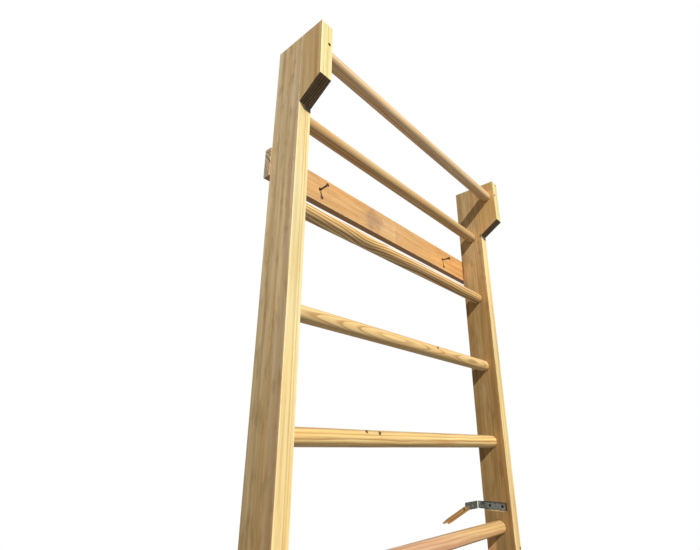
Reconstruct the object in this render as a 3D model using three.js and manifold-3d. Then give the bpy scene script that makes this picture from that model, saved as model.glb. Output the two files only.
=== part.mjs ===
// Swedish wall bars: two pine uprights with round rungs between them, head blocks that carry the top rung
// forward, boards across the back, and steel angle brackets to the wall.
// Millimetres, +Z up. The front faces -Y and the wall is on the +Y side. The floor is z = 0, the middle of
// the width is x = 0, and y = 0 lies midway between the front of the head blocks and the wall.
import * as THREE from "three";
import { mergeVertices } from "three/addons/utils/BufferGeometryUtils.js";
import Module from "manifold-3d";

const wasm = await Module();
wasm.setup();

// Driving dimensions of the ladder
const clearWidth = 910; // between the inner faces of the uprights
const uprightThickness = 38;
const uprightDepth = 92;
const uprightHeight = 2400;
const easedEdge = 1; // radius planed on the long edges of the timber
const rungDiameter = 38;
const rungDepth = 44; // from the front face of the uprights to the rung axes
const socketDepth = 20; // blind socket for each rung end
const rungPitch = 250;
const topRungDrop = 60; // from the top of the uprights down to the axis of the rung in the head blocks
const secondRungDrop = 215; // from the top down to the first rung that sits in the uprights
const lowestRungLeast = 150; // no rung axis comes nearer to the floor than this
const fitGap = 0.3; // glue line or clearance between neighbouring pieces

// Driving dimensions of the head blocks
const headProjection = 68;
const headFrontHeight = 168;
const headSlopeDrop = 45; // how far the underside falls from the front edge to the upright
const headScrewRecess = 6; // the screw's head lies this deep in the block's front edge
const headScrewBite = 40; // how far the screw goes into the upright behind the block
const dowelDiameter = 10;
const dowelLength = 60;
const dowelRise = 63; // from the block's lowest corner up to the dowel between block and upright

// Driving dimensions of the wall boards
const boardHeight = 80;
const boardThickness = 22;
const boardOverhang = 2; // past the outer face of each upright
const boardDrop = 86.5; // from the axis of the rung above down to the board's top edge
const boardScrewSpread = 44; // between the two screws that hold a board's end
const boardScrewRecess = 1;
const boardScrewBite = 38; // how far these screws go into the upright
const wallScrewInsetLeft = 170; // from the board's left end to its left wall screw
const wallScrewInsetRight = 190;
const wallScrewProud = 28; // the wall screws wait half driven, this far out of the board
const wallScrewTilts = {
  // started crookedly, so the left head stands high and the right one low
  left: THREE.MathUtils.degToRad(6),
  right: THREE.MathUtils.degToRad(-4),
};

// Driving dimensions of the angle brackets
const bracketWidth = 22; // height of the steel strap
const bracketPlate = 2.5;
const bracketBend = 5; // outer radius of the bend
const bracketCorner = 4; // radius on the corners of the free ends
const bracketInset = 16; // from the upright's front face to the end of the strap
const bracketSink = 1.2; // the strap lies in a recess, this far below the upright's inner face
const recessPlay = 1; // room in the recess round the strap's edges
const bracketRise = 58; // from the axis of the rung below up to the middle of the strap
const bracketRungs = 5; // rungs from the top of the ladder down to the one below the bracket
const wallLegLength = 83; // from the upright's inner face to the free end
const bracketHoleEnd = 13.5; // from the strap's end on the upright to the nearest hole
const bracketHoleEdge = 20; // from the upright's rear face to the nearest hole
const wallLegHoleEnd = 17.5; // from the wall leg's free end to the nearest hole
const wallLegHolePitch = 31;
const bracketScrewBite = 26; // how far the screws go into the upright

// Driving dimensions of the broken strip of wood on the right bracket's wall leg
const stripWidth = 14.5;
const stripThickness = 4;
const stripFlare = 1.5; // how much wider it is at its upper end
const stripTail = 12; // from its screw to the upper corner of the slanting end
const stripSlant = 26; // how much further the lower corner of that end reaches
const stripReach = 129; // from its screw to the tip of the longer splinter
const stripTilt = THREE.MathUtils.degToRad(12);
const stripScrewEdge = 4.2; // from its upper edge down to its screw
const stripScrewGap = 20.5; // from the free end of the bracket's wall leg to the strip's screw
const stripScrewDrop = 5.2; // from the strap's middle down to the strip's screw
const splinterShort = 27; // how much shorter the second splinter is
const splinterNotch = 33; // from the longer tip back to the root of the split
const splinterBlunt = 7; // how far the end of the longer splinter slants back

// Screws: all countersunk, lengths follow from what they hold
const headScrew = { headRadius: 4, shankRadius: 2.5, headHeight: 3.5, tip: 4 };
const boardScrew = { headRadius: 4.75, shankRadius: 2.5, headHeight: 3.5, tip: 4 };
const wallScrew = { headRadius: 5.5, shankRadius: 2.75, headHeight: 4.5, tip: 4.5 };
const bracketScrew = { headRadius: 3.75, shankRadius: 2, headHeight: 2.8, tip: 3 };
const stripScrew = { headRadius: 3.25, shankRadius: 1.75, headHeight: 2.4, tip: 0.8 };
const screwRim = 0.6; // straight rim round a countersunk head
const tipCover = 0.5; // left between a screw's tip and the wall

// Facets and numeric allowances
const rungSides = 32;
const screwSides = 12;
const edgeSteps = 2;
const bendSteps = 5;
const overcut = 2; // a cutter reaches this far past the face that it enters
const weld = 1e-4;

// Places worked out from the sizes above, from the front face of the uprights and from the floor
const halfClear = clearWidth / 2;
const rungRadius = rungDiameter / 2;
const topRungDepth = -headProjection / 2;
const topRungHeight = uprightHeight - topRungDrop;
const ladderTop = uprightHeight - secondRungDrop;
const ladderRungs = 1 + Math.floor((ladderTop - lowestRungLeast) / rungPitch);
const rungHeights = Array.from({ length: ladderRungs }, (_, i) => ladderTop - i * rungPitch);
const rungLength = clearWidth + 2 * (socketDepth - fitGap);
const boardFront = uprightDepth + fitGap;
const wallDepth = boardFront + boardThickness;
const boardLength = clearWidth + 2 * (uprightThickness + boardOverhang);
const boardRungs = { upper: 0, lower: ladderRungs - 2 };
const boardMiddle = (level) => rungHeights[boardRungs[level]] - boardDrop - boardHeight / 2;
const boardLevels = Object.keys(boardRungs);
const boardScrewOffsets = { top: boardScrewSpread / 2, bottom: -boardScrewSpread / 2 };
const bracketMiddle = rungHeights[bracketRungs - 1] + bracketRise;
const bracketBack = bracketSink + bracketPlate; // the strap's covered face, from the upright's inner face
const bracketHoles = { front: bracketInset + bracketHoleEnd, rear: uprightDepth - bracketHoleEdge };
const wallHoleOuter = wallLegHoleEnd - wallLegLength;
const wallHoleInner = wallHoleOuter + wallLegHolePitch;
const dowelHeight = uprightHeight - headFrontHeight - headSlopeDrop + dowelRise;

const pine = (color) => new THREE.MeshStandardMaterial({ color, roughness: 0.65, metalness: 0 });
const steel = (color, roughness) => new THREE.MeshStandardMaterial({ color, roughness, metalness: 0.9 });
const materials = {
  upright: pine(0xcfa974),
  head: pine(0xc99f66),
  rung: pine(0xdcb273),
  board: pine(0xd8a465),
  strip: pine(0xa87a45),
  dowel: pine(0xd2b384),
  zinc: steel(0x8c9296, 0.4),
  darkScrew: steel(0x4b4138, 0.5),
};

// Geometry helpers

// A closed geometry as a solid that can be joined and cut.
function solidFrom(geometry) {
  const bare = geometry.clone();
  bare.deleteAttribute("normal");
  bare.deleteAttribute("uv");
  const merged = mergeVertices(bare, weld);
  return new wasm.Manifold(
    new wasm.Mesh({
      numProp: 3,
      vertProperties: merged.attributes.position.array,
      triVerts: new Uint32Array(merged.index.array),
    }),
  );
}

function geometryFrom(solid) {
  const made = solid.getMesh();
  const geometry = new THREE.BufferGeometry();
  geometry.setAttribute("position", new THREE.BufferAttribute(made.vertProperties, 3));
  geometry.setIndex(new THREE.BufferAttribute(made.triVerts, 1));
  geometry.computeVertexNormals();
  return geometry;
}

function carved(geometry, cutters) {
  const cut = cutters.reduce((rest, cutter) => rest.subtract(solidFrom(cutter)), solidFrom(geometry));
  return geometryFrom(cut);
}

function shared(...geometries) {
  const solids = geometries.map(solidFrom);
  return geometryFrom(solids.reduce((rest, solid) => rest.intersect(solid)));
}

// A rectangle from (x0, y0) to (x1, y1); each corner radius starts at the low corner and goes round.
function roundedRectangle(x0, y0, x1, y1, [lowLow, highLow, highHigh, lowHigh]) {
  const quarter = Math.PI / 2;
  const shape = new THREE.Shape();
  const corner = (x, y, radius, turn) => {
    if (radius > 0) shape.absarc(x, y, radius, turn * quarter, (turn + 1) * quarter, false);
    else shape.lineTo(x, y);
  };
  shape.moveTo(x0, y0 + lowLow);
  corner(x0 + lowLow, y0 + lowLow, lowLow, 2);
  corner(x1 - highLow, y0 + highLow, highLow, 3);
  corner(x1 - highHigh, y1 - highHigh, highHigh, 0);
  corner(x0 + lowHigh, y1 - lowHigh, lowHigh, 1);
  shape.closePath();
  return shape;
}

function extruded(shape, depth, curveSegments = edgeSteps) {
  return new THREE.ExtrudeGeometry(shape, { depth, bevelEnabled: false, curveSegments });
}

// Turns an outline drawn in (y, z) and extruded into a solid that runs along +X.
function alongX(geometry) {
  const turn = new THREE.Matrix4().makeBasis(
    new THREE.Vector3(0, 1, 0),
    new THREE.Vector3(0, 0, 1),
    new THREE.Vector3(1, 0, 0),
  );
  return geometry.applyMatrix4(turn);
}

// Turns an outline drawn in (x, z) and extruded into a solid that runs along -Y.
function alongMinusY(geometry) {
  return geometry.rotateX(Math.PI / 2);
}

function rodAlongX(radius, length, sides) {
  return new THREE.CylinderGeometry(radius, radius, length, sides).rotateZ(Math.PI / 2);
}

function rodAlongY(radius, length, sides) {
  return new THREE.CylinderGeometry(radius, radius, length, sides);
}

// A countersunk screw with the top of its head at y = 0 and its tip at y = length. As a cutter it is larger
// by grow all round, and reaches back by lead to open the way to its head.
function screwShape({ headRadius, shankRadius, headHeight, tip }, length, grow = 0, lead = 0) {
  const profile = [
    new THREE.Vector2(0, -lead),
    new THREE.Vector2(headRadius + grow, -lead),
    new THREE.Vector2(headRadius + grow, screwRim),
    new THREE.Vector2(shankRadius + grow, headHeight),
    new THREE.Vector2(shankRadius + grow, length - tip),
    new THREE.Vector2(0, length + grow),
  ];
  return new THREE.LatheGeometry(profile, screwSides);
}

const screwCutter = (screw, length, lead) => screwShape(screw, length, fitGap, lead);
const toMinusY = (geometry) => geometry.rotateX(Math.PI);
const toPlusX = (geometry) => geometry.rotateZ(-Math.PI / 2);

function named(name, geometry, material, x = 0, y = 0, z = 0) {
  const mesh = new THREE.Mesh(geometry, material);
  mesh.name = name;
  mesh.position.set(x, y, z);
  return mesh;
}

// Screw lengths
const headScrewLength = headProjection + fitGap + headScrewBite - headScrewRecess;
const boardScrewLength = boardThickness + fitGap + boardScrewBite - boardScrewRecess;
const wallScrewLength = wallScrewProud + boardThickness - tipCover;
const bracketScrewLength = bracketPlate + fitGap + bracketScrewBite;
const stripScrewLength = stripThickness + fitGap + bracketPlate - tipCover;
const stripBack = wallDepth - bracketPlate - fitGap;
const stripFront = stripBack - stripThickness;
const wallLegHoleLength = bracketPlate + overcut + bracketScrew.tip; // its straight part passes the plate

// The head screw crosses the middle of the top rung's end, so it holds block and rung at once.
const headScrewAt = new THREE.Vector3(
  socketDepth / 2,
  -headProjection - fitGap + headScrewRecess,
  topRungHeight,
);

// One side of the ladder, in its own frame: x = 0 is the upright's inner face and +x goes outwards,
// y = 0 is the upright's front face, and z = 0 is the floor.

function rungSocket(depth, height) {
  const socket = rodAlongX(rungRadius + fitGap, socketDepth + overcut, rungSides);
  return socket.translate((socketDepth - overcut) / 2, depth, height);
}

function dowelHole() {
  const hole = rodAlongY(dowelDiameter / 2 + fitGap, dowelLength + 2 * fitGap, screwSides);
  return hole.translate(uprightThickness / 2, -fitGap / 2, dowelHeight);
}

function headScrewHole() {
  const hole = screwCutter(headScrew, headScrewLength, headScrewRecess + overcut);
  return hole.translate(headScrewAt.x, headScrewAt.y, headScrewAt.z);
}

function boardScrewHole(x, level, offset) {
  const hole = toMinusY(screwCutter(boardScrew, boardScrewLength, boardScrewRecess + overcut));
  return hole.translate(x, wallDepth - boardScrewRecess, boardMiddle(level) + offset);
}

function bracketScrewHole(depth) {
  const hole = toPlusX(screwCutter(bracketScrew, bracketScrewLength, overcut));
  return hole.translate(bracketSink, depth, bracketMiddle);
}

// The recess for the bracket's leg is open at the upright's rear face.
function bracketRecess() {
  const half = bracketWidth / 2 + recessPlay;
  const front = bracketInset - recessPlay;
  const past = uprightDepth + overcut;
  const outline = roundedRectangle(front, bracketMiddle - half, past, bracketMiddle + half, [0, 0, 0, 0]);
  return alongX(extruded(outline, bracketBack + fitGap + overcut)).translate(-overcut, 0, 0);
}

function upright() {
  const corners = [easedEdge, easedEdge, easedEdge, easedEdge];
  const post = extruded(roundedRectangle(0, 0, uprightThickness, uprightDepth, corners), uprightHeight);
  const boardHoles = boardLevels.flatMap((level) =>
    Object.values(boardScrewOffsets).map((offset) => boardScrewHole(uprightThickness / 2, level, offset)),
  );
  return carved(post, [
    ...rungHeights.map((height) => rungSocket(rungDepth, height)),
    ...boardHoles,
    bracketRecess(),
    ...Object.values(bracketHoles).map(bracketScrewHole),
    dowelHole(),
    headScrewHole(),
  ]);
}

// The block's side is a rectangle whose underside falls back towards the upright.
function headBlock() {
  const rear = -fitGap;
  const front = rear - headProjection;
  const noseHeight = uprightHeight - headFrontHeight;
  const side = new THREE.Shape();
  side.moveTo(front, uprightHeight);
  side.lineTo(front, noseHeight);
  side.lineTo(rear, noseHeight - headSlopeDrop);
  side.lineTo(rear, uprightHeight);
  side.closePath();
  const block = alongX(extruded(side, uprightThickness));
  return carved(block, [rungSocket(topRungDepth, topRungHeight), dowelHole(), headScrewHole()]);
}

// An L of strap steel: one leg let into the upright's inner face, the other in the plane of the wall.
function angleBracket() {
  const bracketReach = wallLegLength + bracketBack + 2 * overcut;
  const low = bracketMiddle - bracketWidth / 2;
  const high = bracketMiddle + bracketWidth / 2;
  const quarter = Math.PI / 2;
  const section = new THREE.Shape();
  section.moveTo(bracketBack, bracketInset);
  section.absarc(bracketBack - bracketBend, wallDepth - bracketBend, bracketBend, 0, quarter, false);
  section.lineTo(-wallLegLength, wallDepth);
  section.lineTo(-wallLegLength, wallDepth - bracketPlate);
  const inner = bracketBend - bracketPlate;
  section.absarc(bracketBack - bracketBend, wallDepth - bracketBend, inner, quarter, 0, true);
  section.lineTo(bracketSink, bracketInset);
  section.closePath();
  const strap = extruded(section, bracketWidth, bendSteps).translate(0, 0, low);
  const r = bracketCorner;
  const past = wallDepth + overcut;
  const uprightLeg = alongX(
    extruded(roundedRectangle(bracketInset, low, past, high, [r, 0, 0, r]), bracketReach, bendSteps),
  ).translate(-wallLegLength - overcut, 0, 0);
  const legInside = bracketBack + overcut;
  const wallLeg = alongMinusY(
    extruded(roundedRectangle(-wallLegLength, low, legInside, high, [r, 0, 0, r]), past, bendSteps),
  ).translate(0, past, 0);
  const wallHoles = [wallHoleInner, wallHoleOuter].map((x) => {
    const hole = screwCutter(bracketScrew, wallLegHoleLength, overcut);
    return hole.translate(x, wallDepth - bracketPlate, bracketMiddle);
  });
  const uprightHoles = Object.values(bracketHoles).map(bracketScrewHole);
  return carved(shared(strap, uprightLeg, wallLeg), [...wallHoles, ...uprightHoles]);
}

// The dowel is half in the block and half in the upright.
function dowel() {
  return rodAlongY(dowelDiameter / 2, dowelLength, screwSides);
}

function sideOfLadder(side) {
  const group = new THREE.Group();
  group.add(
    named(`upright_${side}`, upright(), materials.upright),
    named(`head_block_${side}`, headBlock(), materials.head),
    named(
      `head_screw_${side}`,
      screwShape(headScrew, headScrewLength),
      materials.darkScrew,
      ...headScrewAt,
    ),
    named(`head_dowel_${side}`, dowel(), materials.dowel, uprightThickness / 2, -fitGap / 2, dowelHeight),
    named(`angle_bracket_${side}`, angleBracket(), materials.zinc),
  );
  for (const [place, depth] of Object.entries(bracketHoles)) {
    const screw = toPlusX(screwShape(bracketScrew, bracketScrewLength));
    const name = `bracket_screw_${place}_${side}`;
    group.add(named(name, screw, materials.darkScrew, bracketSink, depth, bracketMiddle));
  }
  for (const level of boardLevels) {
    for (const [place, offset] of Object.entries(boardScrewOffsets)) {
      const screw = toMinusY(screwShape(boardScrew, boardScrewLength));
      const name = `board_screw_${level}_${place}_${side}`;
      const height = boardMiddle(level) + offset;
      const depth = wallDepth - boardScrewRecess;
      group.add(named(name, screw, materials.darkScrew, uprightThickness / 2, depth, height));
    }
  }
  return group;
}

// Pieces that cross the ladder, with x = 0 in the middle of the width

function rung() {
  return rodAlongX(rungRadius, rungLength, rungSides);
}

// The top rung is bored at both ends for the head screws.
function topRung() {
  const holes = [-1, 1].map((way) => {
    const hole = screwCutter(headScrew, headScrewLength, overcut);
    return hole.translate(way * (halfClear + headScrewAt.x), headScrewAt.y - topRungDepth, 0);
  });
  return carved(rung(), holes);
}

const wallScrewPlaces = {
  left: wallScrewInsetLeft - boardLength / 2,
  right: boardLength / 2 - wallScrewInsetRight,
};

function wallBoard(level) {
  const middle = boardMiddle(level);
  const corners = [easedEdge, easedEdge, easedEdge, easedEdge];
  const low = middle - boardHeight / 2;
  const section = roundedRectangle(boardFront, low, wallDepth, low + boardHeight, corners);
  const plank = alongX(extruded(section, boardLength)).translate(-boardLength / 2, 0, 0);
  const endScrew = halfClear + uprightThickness / 2;
  const endHoles = [-endScrew, endScrew].flatMap((x) =>
    Object.values(boardScrewOffsets).map((offset) => boardScrewHole(x, level, offset)),
  );
  const wallHoles = Object.entries(wallScrewPlaces).map(([place, x]) => {
    const hole = screwCutter(wallScrew, wallScrewLength, overcut).rotateX(-wallScrewTilts[place]);
    return hole.translate(x, boardFront, middle);
  });
  return carved(plank, [...endHoles, ...wallHoles]);
}

// A lath with one slanting end and one that has split into a long and a short splinter. It is drawn from its
// screw, and its slanting end lies in front of the free end of the bracket's wall leg.
function brokenStrip() {
  const high = stripScrewEdge;
  const low = high - stripWidth;
  const splitAt = high - stripWidth * 0.58;
  const shoulder = stripReach - splinterNotch;
  const shortReach = stripReach - splinterShort;
  const outline = new THREE.Shape();
  outline.moveTo(stripTail + stripSlant, low - stripFlare);
  outline.lineTo(stripTail, high);
  outline.lineTo(-shoulder, high);
  outline.lineTo(-stripReach, high - stripWidth * 0.15);
  outline.lineTo(splinterBlunt - stripReach, high - stripWidth * 0.45);
  outline.lineTo(-shoulder, splitAt);
  outline.lineTo(-shortReach, high - stripWidth * 0.78);
  outline.lineTo(splinterBlunt / 2 - shortReach, low);
  outline.closePath();
  const lath = alongMinusY(extruded(outline, stripThickness)).translate(0, stripThickness, 0);
  return carved(lath, [screwCutter(stripScrew, stripScrewLength, overcut)]);
}

function stripOnBracket() {
  const group = new THREE.Group();
  group.add(
    named("broken_strip", brokenStrip(), materials.strip),
    named("broken_strip_screw", screwShape(stripScrew, stripScrewLength), materials.darkScrew),
  );
  const across = halfClear - wallLegLength - stripScrewGap;
  group.position.set(across, stripFront, bracketMiddle - stripScrewDrop);
  group.rotation.y = -stripTilt;
  return group;
}

// Assembly

const ladder = new THREE.Group();
const rightSide = sideOfLadder("right");
rightSide.position.x = halfClear;
const leftSide = sideOfLadder("left");
leftSide.position.x = -halfClear;
leftSide.scale.x = -1;
ladder.add(rightSide, leftSide, stripOnBracket());

const rungName = (number) => `rung_${String(number).padStart(2, "0")}`;
ladder.add(named(rungName(1), topRung(), materials.rung, 0, topRungDepth, topRungHeight));
rungHeights.forEach((height, i) => {
  ladder.add(named(rungName(i + 2), rung(), materials.rung, 0, rungDepth, height));
});

for (const level of boardLevels) {
  ladder.add(named(`wall_board_${level}`, wallBoard(level), materials.board));
  for (const [place, x] of Object.entries(wallScrewPlaces)) {
    const tilt = wallScrewTilts[place];
    const screw = screwShape(wallScrew, wallScrewLength).rotateX(-tilt);
    const name = `wall_screw_${level}_${place}`;
    const depth = boardFront - wallScrewProud * Math.cos(tilt);
    const height = boardMiddle(level) + wallScrewProud * Math.sin(tilt);
    ladder.add(named(name, screw, materials.darkScrew, x, depth, height));
  }
}
ladder.position.y = (headProjection + fitGap - wallDepth) / 2;

const wallBars = new THREE.Group();
wallBars.add(ladder);

export default wallBars;
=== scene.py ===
import math

import bmesh
import bpy
from mathutils import Matrix, Vector, noise


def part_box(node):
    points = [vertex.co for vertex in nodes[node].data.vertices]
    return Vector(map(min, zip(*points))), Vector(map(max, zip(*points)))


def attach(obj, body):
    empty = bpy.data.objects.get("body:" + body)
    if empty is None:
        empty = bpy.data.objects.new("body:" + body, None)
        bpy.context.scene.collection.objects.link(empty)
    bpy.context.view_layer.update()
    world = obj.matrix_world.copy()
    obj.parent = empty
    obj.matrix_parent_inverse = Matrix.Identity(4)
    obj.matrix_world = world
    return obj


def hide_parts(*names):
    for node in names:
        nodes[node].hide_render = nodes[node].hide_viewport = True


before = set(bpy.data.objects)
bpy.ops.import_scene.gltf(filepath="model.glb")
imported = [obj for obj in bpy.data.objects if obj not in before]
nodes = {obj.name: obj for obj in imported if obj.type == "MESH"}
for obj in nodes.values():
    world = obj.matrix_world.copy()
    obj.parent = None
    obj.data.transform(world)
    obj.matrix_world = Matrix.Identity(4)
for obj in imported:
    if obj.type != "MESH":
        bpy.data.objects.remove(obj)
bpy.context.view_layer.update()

# Sizes and places are in millimetres in the part's own frame. Only the frame's boxes and Blender's meshes,
# lights and camera are in metres.

BODY = "root"
MM = 0.001
SIDES = {"left": -1, "right": 1}
LEVELS = ("upper", "lower")
RUNG_COUNT = 10
RUNG_PITCH = 250
FAR = 9000  # past the ends of every piece
WHOLE = (FAR, FAR - 1000)  # the two places of a cast that is the same all along
AXIS_INDEX = {"x": 0, "y": 1, "z": 2}
TO_LEFT = (-1, 0, 0)
TO_FRONT = (0, -1, 0)
TO_TOP = (0, 0, 1)
TO_FLOOR = (0, 0, -1)


# Places in the frame

def box_of(name):
    """A node's two corners as plain tuples, in metres."""
    low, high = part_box(name)
    return tuple(low), tuple(high)


def middle_of(name):
    low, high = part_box(name)
    return (low + high) / 2


# Shader graphs

def rgb(red, green, blue):
    return (red, green, blue, 1.0)


class Graph:
    """The shader graph of a material or a world. An input is a number, a tuple or another node's output."""

    def __init__(self, owner):
        owner.use_nodes = True
        self.owner = owner
        self.tree = owner.node_tree
        self.tree.nodes.clear()

    def add(self, kind, inputs, **settings):
        node = self.tree.nodes.new(kind)
        for key, value in settings.items():
            setattr(node, key, value)
        for key, value in inputs.items():
            self.feed(node.inputs[key], value)
        return node

    def feed(self, socket, value):
        if isinstance(value, bpy.types.NodeSocket):
            self.tree.links.new(value, socket)
        else:
            socket.default_value = value

    def math(self, operation, *values):
        return self.add("ShaderNodeMath", dict(enumerate(values)), operation=operation).outputs[0]

    def plus(self, first, second):
        return self.math("ADD", first, second)

    def minus(self, first, second):
        return self.math("SUBTRACT", first, second)

    def times(self, first, second):
        return self.math("MULTIPLY", first, second)

    def distance(self, first, second):
        return self.math("ABSOLUTE", self.minus(first, second))

    def vector(self, operation, *values):
        return self.add("ShaderNodeVectorMath", dict(enumerate(values)), operation=operation).outputs[0]

    def length(self, value):
        return self.add("ShaderNodeVectorMath", {0: value}, operation="LENGTH").outputs["Value"]

    def dot(self, first, second):
        node = self.add("ShaderNodeVectorMath", {0: first, 1: second}, operation="DOT_PRODUCT")
        return node.outputs["Value"]

    def combine(self, x, y, z):
        return self.add("ShaderNodeCombineXYZ", {0: x, 1: y, 2: z}).outputs[0]

    def split(self, value):
        return self.add("ShaderNodeSeparateXYZ", {0: value}).outputs

    def smooth(self, value, low, high, start=0.0, end=1.0):
        """A smooth step of value between low and high, from start to end."""
        inputs = {0: value, 1: low, 2: high, 3: start, 4: end}
        return self.add("ShaderNodeMapRange", inputs, interpolation_type="SMOOTHSTEP").outputs[0]

    def noise(self, place, detail=2.0, rough=0.5):
        inputs = {"Vector": place, "Scale": 1.0, "Detail": detail, "Roughness": rough}
        return self.add("ShaderNodeTexNoise", inputs).outputs["Fac"]

    def patches(self, place, cells, detail=2.0, rough=0.5):
        """Noise with so many cells in a millimetre along each axis."""
        return self.noise(self.vector("MULTIPLY", place, cells), detail, rough)

    def chance(self, whole):
        """One random number for each whole number."""
        return self.add("ShaderNodeTexWhiteNoise", {"W": whole}, noise_dimensions="1D").outputs["Value"]

    def mix(self, share, first, second, blend="MIX"):
        inputs = {0: share, 6: first, 7: second}
        return self.add("ShaderNodeMix", inputs, data_type="RGBA", blend_type=blend).outputs[2]

    def tint(self, share, colour, factor):
        """The colour, multiplied by factor to that share."""
        return self.mix(share, colour, rgb(*factor), "MULTIPLY")

    def dim(self, colour, factor):
        """The colour, multiplied by one number all through."""
        return self.mix(1.0, colour, self.combine(factor, factor, factor), "MULTIPLY")

    def place(self):
        """The place in the part's own frame, in millimetres."""
        place = self.add("ShaderNodeTexCoord", {}).outputs["Object"]
        return self.vector("MULTIPLY", place, (1 / MM, 1 / MM, 1 / MM))

    def facing(self, way, low=0.5, high=0.9, both=False):
        """How much a face looks that way, or with both also the opposite way, from 0 to 1."""
        turn = self.dot(self.add("ShaderNodeNewGeometry", {}).outputs["Normal"], way)
        if both:
            turn = self.math("ABSOLUTE", turn)
        return self.smooth(turn, low, high)

    def finish(self, height, bump, **inputs):
        """Closes a material's graph with the surface shader and a bump that is so many millimetres high."""
        relief = self.add("ShaderNodeBump", {"Height": height, "Distance": bump * MM, "Strength": 1.0})
        shader = self.add("ShaderNodeBsdfPrincipled", {"Normal": relief.outputs[0]})
        for key, value in inputs.items():
            self.feed(shader.inputs[key.replace("_", " ")], value)
        self.add("ShaderNodeOutputMaterial", {"Surface": shader.outputs[0]})
        return self.owner


def new_graph(name):
    return Graph(bpy.data.materials.new(name))


def seed_of(name):
    return sum(ord(letter) * (i + 1) for i, letter in enumerate(name)) % 97


# Pine

GRAIN_AXES = {"x": (1, 2, 0), "z": (0, 1, 2)}
GRAIN_WAY = {"x": (1, 0, 0), "z": (0, 0, 1)}

# Patterns in the grain: cells in a millimetre across and along it, then detail and roughness.
RIPPLES = (0.035, 0.004, 2.0, 0.5)
CLOUDS = (0.07, 0.0026, 2.0, 0.5)
HUES = (0.05, 0.0035, 2.0, 0.5)
SMUDGES = (0.06, 0.016, 3.0, 0.6)
FIBRES = (1.5, 0.03, 2.0, 0.5)
STREAK_RUN = (0.005, 4.0, 0.6)  # as above, without the cells across
FLECK_DETAIL = 1.0

RIPPLE_HEIGHT = 1.4  # in ring widths
DARKEST_AT = 0.87  # the share of a ring where its dark part is darkest
DARK_ENDS = (1.0, 0.92)  # the shares between which it breaks off
LEAST_VIGOUR = 0.5  # of a ring's dark part
CLOUD = (0.86, 0.82, 0.76)
WARM = (1.0, 0.9, 0.76)
SMEAR = (0.62, 0.56, 0.46)
FLECK = (0.72, 0.58, 0.45)
# The colour of the painted shade in the gap round each rung's hole.
HOLE_GAP_SHADE = (0.3, 0.24, 0.18)
WORN_WIDTH = (3.5, 0.8)  # how far from an edge the wear begins and is full
WORN_FADE = 6  # along the grain

# The under factors below are painted shade on the faces that look down.
UPRIGHT_TONE = {
    "early": (0.75, 0.535, 0.27),
    "late": (0.58, 0.35, 0.14),
    "end": (0.62, 0.57, 0.5),
    "end_line": (0.3, 0.27, 0.25),
    "under": (0.38, 0.41, 0.52),
    "knot": (0.015, 0.009, 0.006),
    "worn": (0.7, 0.53, 0.31),
}
RUNG_TONE = dict(
    UPRIGHT_TONE,
    early=(0.53, 0.38, 0.165),
    late=(0.235, 0.108, 0.03),
    under=(1.0, 1.0, 1.0),
    worn=(0.46, 0.32, 0.16),
)
BOARD_TONE = dict(
    UPRIGHT_TONE,
    early=(0.46, 0.275, 0.11),
    late=(0.33, 0.155, 0.045),
    end=(1.85, 2.5, 4.2),
    end_line=(0.6, 0.58, 0.56),
    under=(0.66, 0.6, 0.48),
    worn=(0.52, 0.42, 0.24),
)
STRIP_TONE = dict(
    UPRIGHT_TONE,
    early=(0.28, 0.15, 0.045),
    late=(0.07, 0.033, 0.012),
    end=(0.8, 0.85, 0.9),
    under=(0.8, 0.8, 0.8),
    worn=(0.34, 0.29, 0.21),
)


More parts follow.
